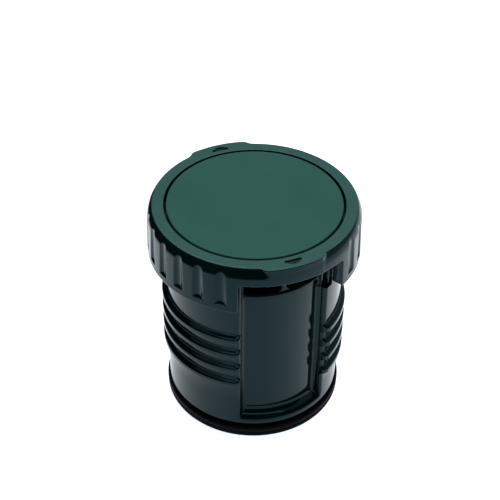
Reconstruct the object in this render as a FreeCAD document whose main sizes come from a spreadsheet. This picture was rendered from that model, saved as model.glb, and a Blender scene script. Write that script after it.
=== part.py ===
import FreeCAD, Part
import math
import os
import Sketcher

# Pour-through stopper for a wide-mouth vacuum flask.
# Frame: millimetres, +Z up, origin at the centre of the seal ring's resting
# face.  The two pour channels open towards -Y and +Y, the thread lands are
# centred on -X and +X.  Azimuths below are measured from -Y towards +X.

doc = FreeCAD.newDocument("pour_stopper")
sheet = doc.addObject("Spreadsheet::Sheet", "dims")

DIMS = [
    # overall
    ("total_tall", 66.0, "resting face to top face"),
    # grip cap
    ("rim_rad", 28.05, "edge of the flat top rim"),
    ("shoulder_rad", 29.40, "radius where the shoulder meets the skirt"),
    ("shoulder_round", 4.71, "shoulder arc"),
    ("shoulder_drop", 3.30, "height of the shoulder arc"),
    ("skirt_mid_rad", 29.45, "skirt at cut-out height"),
    ("skirt_low_rad", 29.72, "skirt near its lower edge"),
    ("skirt_in_rad", 26.40, "inside of the skirt"),
    ("skirt_low_z", 51.60, "lower edge of the skirt"),
    ("plate_low_z", 61.00, "underside of the cap plate"),
    ("plate_top_z", 62.60, "floor of the disc recess"),
    ("recess_rad", 24.82, "wall of the disc recess"),
    ("spigot_rad", 16.80, "cap spigot, outside"),
    ("spigot_in_rad", 13.80, "cap spigot, inside"),
    ("spigot_low_z", 53.20, "end of the cap spigot"),
    ("oring_z", 56.40, "centre height of the mouth gasket"),
    ("oring_groove_rad", 15.12, "floor of the gasket groove"),
    ("oring_groove_tall", 2.00, "width of the gasket groove"),
    ("pad_rad", 29.36, "outside of the two pour pads"),
    ("pad_half", 12.2, "half angle of the full pad"),
    ("pad_end", 21.0, "half angle where the pad dies into the rim"),
    ("cut_half", 30.3, "half angle of the skirt cut-out"),
    ("cut_top_z", 60.70, "top of the skirt cut-out"),
    ("flute_rad", 1.78, "flute cutter radius"),
    ("flute_centre", 30.26, "flute cutter distance from the axis"),
    ("flute_low_z", 54.10, "lower end of the flutes"),
    ("flute_step", 12.7, "angle between flutes"),
    ("arrow_deep", 0.45, "depth of the arrow recess"),
    ("tab_from", 32.6, "snap tab, first side"),
    ("tab_to", 36.2, "snap tab, second side"),
    ("tab_in_rad", 23.15, "snap tab, inside"),
    ("tab_out_rad", 24.65, "snap tab, outside"),
    ("tab_low_z", 48.35, "snap tab, lower end"),
    # inlaid disc
    ("disc_rad", 24.15, "inlaid disc"),
    ("disc_low_z", 63.60, "underside of the inlaid disc"),
    ("disc_edge", 0.25, "edge round of the disc"),
    ("peg_rad", 3.50, "locating peg under the disc"),
    ("peg_hole_rad", 3.55, "hole for the peg"),
    ("pad_out_rad", 23.60, "bonding pad, outside"),
    ("pad_in_rad", 4.20, "bonding pad, hole"),
    # thread sleeve
    ("sleeve_rad", 24.85, "outside of the sleeve"),
    ("sleeve_in_rad", 22.00, "inside of the sleeve"),
    ("sleeve_low_z", 5.00, "lower edge of the sleeve"),
    ("sleeve_top_z", 60.90, "upper edge of the sleeve"),
    ("flange_in_rad", 19.50, "inner flange bore"),
    ("flange_top_z", 6.60, "top of the inner flange"),
    ("rib_rad", 26.22, "crest of the thread ribs"),
    ("rib_pitch", 5.40, "axial pitch of the ribs"),
    ("rib_left_z", 36.75, "first rib crest on the -X land"),
    ("rib_right_z", 34.05, "first rib crest on the +X land"),
    ("rib_up_crest", 0.75, "crest centre to upper crest edge"),
    ("rib_up_root", 1.65, "crest centre to upper root"),
    ("rib_down_crest", 0.75, "crest centre to lower crest edge"),
    ("rib_down_root", 1.45, "crest centre to lower root"),
    ("rib_tilt", 1.93, "lead angle of the ribs"),
    ("window_half", 28.7, "half angle of a pour channel"),
    ("ledge_out_z", 7.20, "ledge height at the outside"),
    ("ledge_in_z", 8.40, "ledge height at the core"),
    ("notch_from", 30.7, "snap notch, first side"),
    ("notch_to", 36.6, "snap notch, second side"),
    ("notch_in_rad", 23.05, "snap notch, floor"),
    ("notch_low_z", 48.10, "snap notch, lower end"),
    # core cup
    ("core_rad", 21.95, "outside of the core cup"),
    ("core_in_rad", 20.35, "inside of the core cup"),
    ("core_low_z", 6.60, "underside of the core cup"),
    ("core_floor_z", 8.20, "floor of the core cup"),
    ("core_rim_z", 51.40, "shoulder of the core cup"),
    ("core_rim_round", 0.60, "round of that shoulder"),
    ("core_shelf_z", 49.80, "underside of the shoulder"),
    ("neck_rad", 18.50, "neck of the core cup, outside"),
    ("neck_in_rad", 16.90, "neck of the core cup, bore"),
    ("neck_top_z", 60.80, "top of the neck"),
    ("web_half", 0.65, "half thickness of the pour web"),
    ("web_flare", 1.90, "half width of the web's foot"),
    ("web_flare_z", 53.00, "top of the web's foot"),
    ("web_out_rad", 21.40, "outer edge of the web"),
    # foam core
    ("foam_rad", 20.25, "foam core"),
    ("foam_neck_rad", 13.70, "foam in the spigot"),
    # gasket ring in the mouth
    ("oring_rad", 16.00, "centre line of the mouth gasket"),
    ("oring_cord", 0.86, "half the cord of the mouth gasket"),
    # base plate
    ("base_low_z", 0.70, "underside of the base plate"),
    ("base_rad", 22.65, "spigot that carries the seal ring"),
    ("base_up_rad", 19.40, "boss inside the sleeve flange"),
    ("base_web_z", 3.00, "inner face of the hollow underside"),
    ("base_hollow_rad", 19.80, "hollow of the underside"),
    # seal ring
    ("seal_bore", 22.70, "bore of the seal ring"),
    ("seal_rad", 25.50, "widest part of the seal ring"),
    ("seal_top_z", 3.90, "top of the sealing lip"),
    ("seal_neck_rad", 24.10, "collar above the lip"),
    ("seal_neck_z", 4.85, "top of the collar"),
]
for row, (alias, value, note) in enumerate(DIMS, start=1):
    sheet.set("A%d" % row, note)
    sheet.set("B%d" % row, repr(value))
    sheet.setAlias("B%d" % row, alias)
doc.recompute()


class Dim:
    """A number that remembers the spreadsheet expression it came from."""

    def __init__(self, value, text):
        self.value = float(value)
        self.text = text

    @staticmethod
    def of(other):
        if isinstance(other, Dim):
            return other
        return Dim(other, repr(float(other)))

    def __add__(self, other):
        o = Dim.of(other)
        return Dim(self.value + o.value, "(%s + %s)" % (self.text, o.text))

    def __radd__(self, other):
        return Dim.of(other) + self

    def __sub__(self, other):
        o = Dim.of(other)
        return Dim(self.value - o.value, "(%s - %s)" % (self.text, o.text))

    def __rsub__(self, other):
        return Dim.of(other) - self

    def __mul__(self, other):
        o = Dim.of(other)
        return Dim(self.value * o.value, "(%s * %s)" % (self.text, o.text))

    def __rmul__(self, other):
        return Dim.of(other) * self

    def __truediv__(self, other):
        o = Dim.of(other)
        return Dim(self.value / o.value, "(%s / %s)" % (self.text, o.text))

    def __neg__(self):
        return Dim(-self.value, "(0 - %s)" % self.text)


class Table:
    pass


D = Table()
for alias, value, note in DIMS:
    setattr(D, alias, Dim(sheet.get(alias), "dims." + alias))


def sine(angle):
    a = Dim.of(angle)
    return Dim(math.sin(math.radians(a.value)), "sin(%s * 1 deg)" % a.text)


def cosine(angle):
    a = Dim.of(angle)
    return Dim(math.cos(math.radians(a.value)), "cos(%s * 1 deg)" % a.text)


def polar(radius, azimuth):
    """Point in the XY plane at an azimuth measured from -Y towards +X."""
    return (radius * sine(azimuth), -(radius * cosine(azimuth)))


def new_body(name):
    body = doc.addObject("PartDesign::Body", name)
    body.Label = name
    return body


def new_sketch(body, name, role, shift=None, turn=None):
    sk = body.newObject("Sketcher::SketchObject", name)
    plane = [f for f in body.Origin.OriginFeatures if f.Role == role][0]
    sk.AttachmentSupport = [(plane, "")]
    sk.MapMode = "FlatFace"
    rotation = FreeCAD.Rotation()
    if turn is not None:
        rotation = FreeCAD.Rotation(FreeCAD.Vector(*turn[0]), turn[1].value)
    sk.AttachmentOffset = FreeCAD.Placement(FreeCAD.Vector(0, 0, 0), rotation)
    if turn is not None:
        sk.setExpression("AttachmentOffset.Rotation.Angle", turn[1].text)
    if shift is not None:
        off = sk.AttachmentOffset
        off.Base = FreeCAD.Vector(0, 0, shift.value)
        sk.AttachmentOffset = off
        sk.setExpression("AttachmentOffset.Base.z", shift.text)
    return sk


def bind(sk, index, label, dim):
    sk.renameConstraint(index, label)
    sk.setExpression("Constraints." + label, dim.text)


def outline(sk, points, tag):
    """Closed outline.  Each point is (x, y) or (x, y, radius, side): with a
    radius, the run to the next point is an arc whose centre lies to the left
    of the run for side 1 and to its right for side -1."""
    n = len(points)
    first = sk.GeometryCount
    ends = []
    for i, p in enumerate(points):
        q = points[(i + 1) % n]
        ax, ay = Dim.of(p[0]).value, Dim.of(p[1]).value
        bx, by = Dim.of(q[0]).value, Dim.of(q[1]).value
        if len(p) == 2:
            sk.addGeometry(Part.LineSegment(FreeCAD.Vector(ax, ay, 0),
                                            FreeCAD.Vector(bx, by, 0)), False)
            ends.append((1, 2))
        else:
            r = Dim.of(p[2]).value
            half = 0.5 * math.hypot(bx - ax, by - ay)
            height = math.sqrt(max(r * r - half * half, 0.0))
            ux, uy = (bx - ax) / (2 * half), (by - ay) / (2 * half)
            side = p[3]
            cx = 0.5 * (ax + bx) - side * height * uy
            cy = 0.5 * (ay + by) + side * height * ux
            a0 = math.atan2(ay - cy, ax - cx)
            a1 = math.atan2(by - cy, bx - cx)
            circle = Part.Circle(FreeCAD.Vector(cx, cy, 0),
                                 FreeCAD.Vector(0, 0, 1), r)
            if side < 0:
                sk.addGeometry(Part.ArcOfCircle(circle, a1, a0), False)
                ends.append((2, 1))
            else:
                sk.addGeometry(Part.ArcOfCircle(circle, a0, a1), False)
                ends.append((1, 2))
            k = sk.addConstraint(Sketcher.Constraint("Radius", first + i, r))
            bind(sk, k, "%s_round%d" % (tag, i), Dim.of(p[2]))
    for i in range(n):
        j = (i + 1) % n
        sk.addConstraint(Sketcher.Constraint(
            "Coincident", first + i, ends[i][1], first + j, ends[j][0]))
    for i, p in enumerate(points):
        x, y = Dim.of(p[0]), Dim.of(p[1])
        pos = ends[i][0]
        if abs(x.value) < 1e-9:
            sk.addConstraint(Sketcher.Constraint(
                "PointOnObject", first + i, pos, -2))
        else:
            k = sk.addConstraint(Sketcher.Constraint(
                "DistanceX", -1, 1, first + i, pos, x.value))
            bind(sk, k, "%s_x%d" % (tag, i), x)
        k = sk.addConstraint(Sketcher.Constraint(
            "DistanceY", -1, 1, first + i, pos, y.value))
        bind(sk, k, "%s_y%d" % (tag, i), y)


def disc_outline(sk, x, y, radius, tag):
    k = sk.addGeometry(Part.Circle(FreeCAD.Vector(x.value, y.value, 0),
                                   FreeCAD.Vector(0, 0, 1), radius.value), False)
    c = sk.addConstraint(Sketcher.Constraint("Radius", k, radius.value))
    bind(sk, c, tag + "_r", radius)
    c = sk.addConstraint(Sketcher.Constraint("DistanceX", -1, 1, k, 3, x.value))
    bind(sk, c, tag + "_x", x)
    c = sk.addConstraint(Sketcher.Constraint("DistanceY", -1, 1, k, 3, y.value))
    bind(sk, c, tag + "_y", y)


def revolve(body, sk, name, angle=None, cut=False):
    kind = "PartDesign::Groove" if cut else "PartDesign::Revolution"
    feat = body.newObject(kind, name)
    feat.Profile = (sk, [""])
    feat.ReferenceAxis = (sk, ["V_Axis"])
    if angle is None:
        feat.Angle = 360.0
    else:
        feat.Angle = angle.value
        feat.Midplane = True
        feat.setExpression("Angle", angle.text)
    return feat


def pad(body, sk, name, length, back=False):
    feat = body.newObject("PartDesign::Pad", name)
    feat.Profile = (sk, [""])
    feat.Length = length.value
    feat.setExpression("Length", length.text)
    feat.Reversed = back
    return feat


def pocket(body, sk, name, length, back=False):
    feat = body.newObject("PartDesign::Pocket", name)
    feat.Profile = (sk, [""])
    feat.Length = length.value
    feat.setExpression("Length", length.text)
    feat.Reversed = back
    return feat


def around(body, feats, name, count, extent=None):
    pat = body.newObject("PartDesign::PolarPattern", name)
    pat.Originals = feats
    axis = [f for f in body.Origin.OriginFeatures if f.Role == "Z_Axis"][0]
    pat.Axis = (axis, [""])
    if extent is None:
        pat.Angle = 360.0
    else:
        pat.Angle = extent.value
        pat.setExpression("Angle", extent.text)
    pat.Occurrences = count
    body.Tip = pat
    return pat


def volume_now(body):
    doc.recompute()
    return body.Shape.Volume


def changed(body, before, what, more):
    """Stop when a feature added or removed nothing."""
    after = volume_now(body)
    good = after > before + 0.01 if more else after < before - 0.01
    if not good:
        raise RuntimeError("%s left %s unchanged: %.3f -> %.3f"
                           % (what, body.Label, before, after))
    return after


# ---------------------------------------------------------------- grip cap
cap = new_body("grip_cap")
sk = new_sketch(cap, "cap_section", "XZ_Plane")
outline(sk, [
    (D.peg_hole_rad, D.plate_low_z),
    (D.spigot_in_rad, D.plate_low_z),
    (D.spigot_in_rad, D.spigot_low_z),
    (D.spigot_rad - 0.5, D.spigot_low_z),
    (D.spigot_rad, D.spigot_low_z + 0.8),
    (D.spigot_rad, D.oring_z - D.oring_groove_tall / 2),
    (D.oring_groove_rad, D.oring_z - D.oring_groove_tall / 2),
    (D.oring_groove_rad, D.oring_z + D.oring_groove_tall / 2),
    (D.spigot_rad, D.oring_z + D.oring_groove_tall / 2),
    (D.spigot_rad, D.plate_low_z),
    (D.skirt_in_rad, D.plate_low_z),
    (D.skirt_in_rad, D.skirt_low_z + 0.7, Dim.of(0.7), 1),
    (D.skirt_in_rad + 0.7, D.skirt_low_z),
    (D.skirt_low_rad - 0.9, D.skirt_low_z, Dim.of(0.9), 1),
    (D.skirt_low_rad, D.skirt_low_z + 0.9),
    (D.skirt_mid_rad, D.cut_top_z),
    (D.shoulder_rad, D.total_tall - D.shoulder_drop, D.shoulder_round, 1),
    (D.rim_rad, D.total_tall),
    (D.recess_rad, D.total_tall),
    (D.recess_rad, D.plate_top_z),
    (D.peg_hole_rad, D.plate_top_z),
], "cap")
revolve(cap, sk, "cap_turned")
vol = volume_now(cap)

sk = new_sketch(cap, "pour_pad_plan", "XY_Plane", shift=D.total_tall)
p1 = polar(D.pad_rad, -D.pad_half)
p2 = polar(D.pad_rad, D.pad_half)
p3 = polar(D.rim_rad - 0.05, D.pad_end)
p4 = polar(D.recess_rad + 1.2, D.pad_end)
p5 = polar(D.recess_rad + 1.2, -D.pad_end)
p6 = polar(D.rim_rad - 0.05, -D.pad_end)
outline(sk, [(p1[0], p1[1], D.pad_rad, 1), p2, p3, p4, p5, p6], "pour_pad")
feat = pad(cap, sk, "pour_pad", D.total_tall - D.cut_top_z, back=True)
vol = changed(cap, vol, "pour pad", True)
around(cap, [feat], "pour_pads", 2)
vol = changed(cap, vol, "pour pads", True)

for name, start in (("flute_a", D.flute_step * -4 + 90),
                    ("flute_b", D.flute_step * -4 + 270)):
    sk = new_sketch(cap, name + "_plan", "XY_Plane", shift=D.flute_low_z)
    at = polar(D.flute_centre, start)
    disc_outline(sk, at[0], at[1], D.flute_rad, name)
    feat = pocket(cap, sk, name, D.total_tall - D.flute_low_z + 1, back=True)
    vol = changed(cap, vol, name, False)
    around(cap, [feat], name + "_row", 9, D.flute_step * 8)
    vol = changed(cap, vol, name + " row", False)

sk = new_sketch(cap, "skirt_cut_plan", "XY_Plane", shift=D.cut_top_z)
inner = D.skirt_in_rad - 0.6
outer = D.skirt_low_rad + 1.5
q1 = polar(inner, -D.cut_half)
q2 = polar(inner, D.cut_half)
q3 = polar(outer, D.cut_half)
q4 = polar(outer, -D.cut_half)
outline(sk, [(q1[0], q1[1], inner, 1), q2, (q3[0], q3[1], outer, -1), q4],
        "skirt_cut")
feat = pocket(cap, sk, "skirt_cut", D.cut_top_z - D.skirt_low_z + 1)
vol = changed(cap, vol, "skirt cut", False)
around(cap, [feat], "skirt_cuts", 2)
vol = changed(cap, vol, "skirt cuts", False)

sk = new_sketch(cap, "arrow_plan", "XY_Plane", shift=D.total_tall)
outline(sk, [
    (Dim.of(-2.25), Dim.of(-26.15)),
    (Dim.of(-2.40), Dim.of(-26.75)),
    (Dim.of(-0.65), Dim.of(-27.85)),
    (Dim.of(0.65), Dim.of(-27.85)),
    (Dim.of(2.40), Dim.of(-26.75)),
    (Dim.of(2.25), Dim.of(-26.15)),
], "arrow")
feat = pocket(cap, sk, "arrow", D.arrow_deep)
vol = changed(cap, vol, "arrow", False)
around(cap, [feat], "arrows", 2)
vol = changed(cap, vol, "arrows", False)

# Four snap tabs hang from the cap plate into notches of the sleeve.
sk = new_sketch(cap, "snap_tab_plan", "XY_Plane", shift=D.plate_low_z + 0.4)
for k, (a, b) in enumerate(((D.tab_from, D.tab_to), (-D.tab_to, -D.tab_from))):
    r0, r1 = D.tab_in_rad, D.tab_out_rad
    t1, t2 = polar(r0, a), polar(r0, b)
    t3, t4 = polar(r1, b), polar(r1, a)
    outline(sk, [(t1[0], t1[1], r0, 1), t2, (t3[0], t3[1], r1, -1), t4],
            "snap_tab%d" % k)
feat = pad(cap, sk, "snap_tab", D.plate_low_z + 0.4 - D.tab_low_z, back=True)
vol = changed(cap, vol, "snap tab", True)
around(cap, [feat], "snap_tabs", 2)
vol = changed(cap, vol, "snap tabs", True)

# ------------------------------------------------------------ inlaid disc
disc = new_body("top_disc")
sk = new_sketch(disc, "disc_section", "XZ_Plane")
outline(sk, [
    (Dim.of(0), D.plate_low_z),
    (D.peg_rad, D.plate_low_z),
    (D.peg_rad, D.disc_low_z),
    (D.disc_rad - 0.4, D.disc_low_z),
    (D.disc_rad, D.disc_low_z + 0.4),
    (D.disc_rad, D.total_tall - D.disc_edge, D.disc_edge, 1),
    (D.disc_rad - D.disc_edge, D.total_tall),
    (Dim.of(0), D.total_tall),
], "disc")
revolve(disc, sk, "disc_turned")

bond = new_body("disc_bonding_pad")
sk = new_sketch(bond, "bond_section", "XZ_Plane")
outline(sk, [
    (D.pad_in_rad, D.plate_top_z),
    (D.pad_out_rad, D.plate_top_z),
    (D.pad_out_rad, D.disc_low_z),
    (D.pad_in_rad, D.disc_low_z),
], "bond")
revolve(bond, sk, "bond_turned")

# ---------------------------------------------------------- thread sleeve
sleeve = new_body("thread_sleeve")
sk = new_sketch(sleeve, "sleeve_section", "XZ_Plane")
outline(sk, [
    (D.flange_in_rad, D.sleeve_low_z),
    (D.sleeve_rad - 0.35, D.sleeve_low_z, Dim.of(0.35), 1),
    (D.sleeve_rad, D.sleeve_low_z + 0.35),
    (D.sleeve_rad, D.sleeve_top_z),
    (D.sleeve_in_rad, D.sleeve_top_z),
    (D.sleeve_in_rad, D.flange_top_z),
    (D.flange_in_rad, D.flange_top_z),
], "sleeve")
revolve(sleeve, sk, "sleeve_turned")
vol = volume_now(sleeve)

for name, side, first, turn in (
        ("ribs_right", 1, D.rib_right_z, D.rib_tilt),
        ("ribs_left", -1, D.rib_left_z, -D.rib_tilt)):
    sk = new_sketch(sleeve, name + "_section", "XZ_Plane",
                    turn=((1, 0, 0), turn))
    root = D.sleeve_rad - 0.6
    for k in range(4):
        z = first - D.rib_pitch * k
        slope_up = (D.rib_up_root - D.rib_up_crest)
        slope_down = (D.rib_down_root - D.rib_down_crest)
        grow = Dim.of(0.6) / (D.rib_rad - D.sleeve_rad)
        loop = [
            (root * side, z - D.rib_down_root - slope_down * grow),
            (D.rib_rad * side, z - D.rib_down_crest),
            (D.rib_rad * side, z + D.rib_up_crest),
            (root * side, z + D.rib_up_root + slope_up * grow),
        ]
        outline(sk, loop, "%s%d" % (name, k))
    revolve(sleeve, sk, name, Dim.of(180.0))
    vol = changed(sleeve, vol, name, True)

sk = new_sketch(sleeve, "channel_section", "YZ_Plane")
far = D.rib_rad + 1.5
outline(sk, [
    (-(D.sleeve_in_rad - 0.4), D.sleeve_top_z + 1),
    (-(D.sleeve_in_rad - 0.4), D.ledge_in_z),
    (-(D.sleeve_in_rad + 0.15), D.ledge_in_z, Dim.of(1.15), 1),
    (-(D.sleeve_in_rad + 1.05), D.ledge_out_z + 0.18),
    (-(D.sleeve_rad - 0.2), D.ledge_out_z),
    (-far, D.ledge_out_z - 0.1),
    (-far, D.sleeve_top_z + 1),
], "channel")
feat = revolve(sleeve, sk, "channel", D.window_half * 2, cut=True)
vol = changed(sleeve, vol, "channel", False)
around(sleeve, [feat], "channels", 2)
vol = changed(sleeve, vol, "channels", False)

sk = new_sketch(sleeve, "snap_notch_plan", "XY_Plane", shift=D.sleeve_top_z)
for k, (a, b) in enumerate(((D.notch_from, D.notch_to),
                            (-D.notch_to, -D.notch_from))):
    r0, r1 = D.notch_in_rad, D.sleeve_rad + 0.8
    t1, t2 = polar(r0, a), polar(r0, b)
    t3, t4 = polar(r1, b), polar(r1, a)
    outline(sk, [(t1[0], t1[1], r0, 1), t2, (t3[0], t3[1], r1, -1), t4],
            "snap_notch%d" % k)
feat = pocket(sleeve, sk, "snap_notch", D.sleeve_top_z - D.notch_low_z)
vol = changed(sleeve, vol, "snap notch", False)
around(sleeve, [feat], "snap_notches", 2)
vol = changed(sleeve, vol, "snap notches", False)

# --------------------------------------------------------------- core cup
core = new_body("core_cup")
sk = new_sketch(core, "core_section", "XZ_Plane")
outline(sk, [
    (Dim.of(0), D.core_low_z),
    (D.core_rad - 0.4, D.core_low_z),
    (D.core_rad, D.core_low_z + 0.4),
    (D.core_rad, D.core_rim_z - D.core_rim_round, D.core_rim_round, 1),
    (D.core_rad - D.core_rim_round, D.core_rim_z),
    (D.neck_rad, D.core_rim_z),
    (D.neck_rad, D.neck_top_z),
    (D.neck_in_rad, D.neck_top_z),
    (D.neck_in_rad, D.core_shelf_z),
    (D.core_in_rad, D.core_shelf_z),
    (D.core_in_rad, D.core_floor_z),
    (Dim.of(0), D.core_floor_z),
], "core")
revolve(core, sk, "core_turned")
vol = volume_now(core)

# One web on each pour axis braces the neck above the channel panel.
sk = new_sketch(core, "web_section", "XZ_Plane", shift=D.neck_rad - 0.5)
foot = D.core_rim_z - 0.4
outline(sk, [
    (-D.web_flare, foot),
    (D.web_flare, foot),
    (D.web_flare - 0.35, D.core_rim_z + 0.35),
    (D.web_half, D.web_flare_z),
    (D.web_half, D.neck_top_z),
    (-D.web_half, D.neck_top_z),
    (-D.web_half, D.web_flare_z),
    (-(D.web_flare - 0.35), D.core_rim_z + 0.35),
], "web")
feat = pad(core, sk, "web", D.web_out_rad - D.neck_rad + 0.5)
vol = changed(core, vol, "web", True)
around(core, [feat], "webs", 2)
vol = changed(core, vol, "webs", True)

# -------------------------------------------------------------- foam core
foam = new_body("foam_core")
sk = new_sketch(foam, "foam_section", "XZ_Plane")
outline(sk, [
    (Dim.of(0), D.core_floor_z),
    (D.foam_rad, D.core_floor_z),
    (D.foam_rad, D.core_shelf_z - 0.1),
    (D.neck_in_rad - 0.1, D.core_shelf_z - 0.1),
    (D.neck_in_rad - 0.1, D.spigot_low_z - 0.4),
    (D.foam_neck_rad, D.spigot_low_z - 0.4),
    (D.foam_neck_rad, D.plate_low_z - 0.1),
    (Dim.of(0), D.plate_low_z - 0.1),
], "foam")
revolve(foam, sk, "foam_turned")

# ----------------------------------------------------------- mouth gasket
gasket = new_body("mouth_gasket")
sk = new_sketch(gasket, "gasket_section", "XZ_Plane")
disc_outline(sk, D.oring_rad, D.oring_z, D.oring_cord, "cord")
revolve(gasket, sk, "gasket_turned")

# ------------------------------------------------------------- base plate
base = new_body("base_plate")
sk = new_sketch(base, "base_section", "XZ_Plane")
outline(sk, [
    (Dim.of(0), D.base_web_z),
    (D.base_hollow_rad - 0.8, D.base_web_z, Dim.of(0.8), -1),
    (D.base_hollow_rad, D.base_web_z - 0.8),
    (D.base_hollow_rad, D.base_low_z),
    (D.base_rad - 0.4, D.base_low_z),
    (D.base_rad, D.base_low_z + 0.4),
    (D.base_rad, D.sleeve_low_z),
    (D.base_up_rad, D.sleeve_low_z),
    (D.base_up_rad, D.core_low_z),
    (Dim.of(0), D.core_low_z),
], "base")
revolve(base, sk, "base_turned")

# -------------------------------------------------------------- seal ring
seal = new_body("seal_ring")
sk = new_sketch(seal, "seal_section", "XZ_Plane")
outline(sk, [
    (D.seal_bore, Dim.of(0.9)),
    (D.seal_bore + 0.9, Dim.of(0.0)),
    (D.seal_rad - 1.25, Dim.of(0.0), Dim.of(1.2), 1),
    (D.seal_rad - 0.05, Dim.of(1.2)),
    (D.seal_rad - 0.05, Dim.of(1.85)),
    (D.seal_rad - 0.25, Dim.of(2.15)),
    (D.seal_rad, Dim.of(2.6)),
    (D.seal_rad, D.seal_top_z - 0.6, Dim.of(0.6), 1),
    (D.seal_rad - 0.6, D.seal_top_z),
    (D.seal_neck_rad, D.seal_top_z),
    (D.seal_neck_rad, D.seal_neck_z),
    (D.seal_bore, D.seal_neck_z),
], "seal")
revolve(seal, sk, "seal_turned")

# ------------------------------------------------------------ check, write
doc.recompute()
failed = []
for obj in doc.Objects:
    state = list(obj.State)
    if "Invalid" in state or "Error" in state:
        failed.append("%s %s" % (obj.Name, state))
bodies = [cap, disc, bond, sleeve, core, foam, gasket, base, seal]
for body in bodies:
    shape = body.Shape
    if shape.isNull() or not shape.isValid() or len(shape.Solids) != 1:
        failed.append("%s has a bad shape" % body.Label)
if failed:
    raise RuntimeError("; ".join(failed))

os.makedirs("parts", exist_ok=True)
for body in bodies:
    box = body.Shape.BoundBox
    print("%-18s vol %9.1f  x %.2f..%.2f  y %.2f..%.2f  z %.2f..%.2f" % (
        body.Label, body.Shape.Volume, box.XMin, box.XMax,
        box.YMin, box.YMax, box.ZMin, box.ZMax))
    body.Shape.exportStep("parts/%s.step" % body.Label)
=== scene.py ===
import math

import bmesh
import bpy
import numpy as np
from mathutils import Matrix, Vector


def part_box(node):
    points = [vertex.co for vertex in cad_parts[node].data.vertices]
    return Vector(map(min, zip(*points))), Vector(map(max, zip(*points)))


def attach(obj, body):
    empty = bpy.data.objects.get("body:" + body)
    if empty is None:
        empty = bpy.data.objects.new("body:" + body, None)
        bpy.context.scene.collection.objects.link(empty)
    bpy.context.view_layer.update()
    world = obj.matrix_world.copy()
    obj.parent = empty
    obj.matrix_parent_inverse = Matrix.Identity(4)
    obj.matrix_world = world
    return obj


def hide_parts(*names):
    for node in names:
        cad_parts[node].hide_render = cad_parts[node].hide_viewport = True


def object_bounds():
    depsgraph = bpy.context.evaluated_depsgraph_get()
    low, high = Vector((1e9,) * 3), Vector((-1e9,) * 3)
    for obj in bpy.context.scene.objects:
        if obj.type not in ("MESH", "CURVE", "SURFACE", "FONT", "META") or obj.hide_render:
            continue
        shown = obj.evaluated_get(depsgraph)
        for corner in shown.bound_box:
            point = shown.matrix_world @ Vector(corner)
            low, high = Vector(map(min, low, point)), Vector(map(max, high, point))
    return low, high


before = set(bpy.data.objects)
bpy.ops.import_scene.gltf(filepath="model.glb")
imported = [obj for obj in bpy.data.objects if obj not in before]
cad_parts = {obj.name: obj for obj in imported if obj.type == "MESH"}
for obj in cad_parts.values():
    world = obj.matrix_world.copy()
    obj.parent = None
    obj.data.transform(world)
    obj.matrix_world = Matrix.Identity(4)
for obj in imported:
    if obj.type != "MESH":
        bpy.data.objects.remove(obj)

cad_low, cad_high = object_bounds()
cad_low, cad_high = [float(v) for v in cad_low], [float(v) for v in cad_high]

MM = 0.001
box = {name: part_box(name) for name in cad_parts}


def top_of(node):
    return box[node][1].z / MM


def foot_of(node):
    return box[node][0].z / MM


def half_wide(node):
    return (box[node][1].x - box[node][0].x) / 2 / MM


# Heights and radii, in millimetres, read from the CAD nodes.
TOP = top_of("grip_cap")
DISC_TOP = top_of("top_disc")
DISC_RAD = half_wide("top_disc")
PAD_TOP = top_of("disc_bonding_pad")
RECESS_Z = foot_of("disc_bonding_pad")
SLEEVE_LOW = foot_of("thread_sleeve")
SLEEVE_TOP = top_of("thread_sleeve")
CORE_LOW = foot_of("core_cup")
CORE_TOP = top_of("core_cup")
TAB_LOW = foot_of("grip_cap")
BASE_LOW = foot_of("base_plate")
BASE_TOP = top_of("base_plate")
SEAL_TOP = top_of("seal_ring")
SEAL_RAD = half_wide("seal_ring")
PLATE_LOW = SLEEVE_TOP + 0.1


# ------------------------------------------------------------------ materials
def tree(name):
    mat = bpy.data.materials.new(name)
    mat.use_nodes = True
    nt = mat.node_tree
    nt.nodes.clear()
    out = nt.nodes.new("ShaderNodeOutputMaterial")
    bsdf = nt.nodes.new("ShaderNodeBsdfPrincipled")
    nt.links.new(bsdf.outputs["BSDF"], out.inputs["Surface"])
    return mat, nt, bsdf


def noise(nt, coord, scale, detail=3.0, rough=0.5, stretch=None):
    tex = nt.nodes.new("ShaderNodeTexNoise")
    tex.inputs["Scale"].default_value = scale
    tex.inputs["Detail"].default_value = detail
    tex.inputs["Roughness"].default_value = rough
    src = coord
    if stretch is not None:
        mp = nt.nodes.new("ShaderNodeMapping")
        mp.inputs["Scale"].default_value = stretch
        nt.links.new(coord, mp.inputs["Vector"])
        src = mp.outputs["Vector"]
    nt.links.new(src, tex.inputs["Vector"])
    return tex.outputs["Fac"]


def span(nt, value, lo, hi, to_lo, to_hi, smooth=False):
    mr = nt.nodes.new("ShaderNodeMapRange")
    if smooth:
        mr.interpolation_type = "SMOOTHSTEP"
    mr.inputs["From Min"].default_value = lo
    mr.inputs["From Max"].default_value = hi
    mr.inputs["To Min"].default_value = to_lo
    mr.inputs["To Max"].default_value = to_hi
    nt.links.new(value, mr.inputs["Value"])
    return mr.outputs["Result"]


def math_node(nt, op, a, b):
    m = nt.nodes.new("ShaderNodeMath")
    m.operation = op
    for k, v in enumerate((a, b)):
        if isinstance(v, (int, float)):
            m.inputs[k].default_value = v
        else:
            nt.links.new(v, m.inputs[k])
    return m.outputs[0]


def blend(nt, fac, a, b):
    mix = nt.nodes.new("ShaderNodeMix")
    mix.data_type = "RGBA"
    mix.inputs["A"].default_value = (*a, 1.0)
    mix.inputs["B"].default_value = (*b, 1.0)
    nt.links.new(fac, mix.inputs["Factor"])
    return mix.outputs["Result"]


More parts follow.
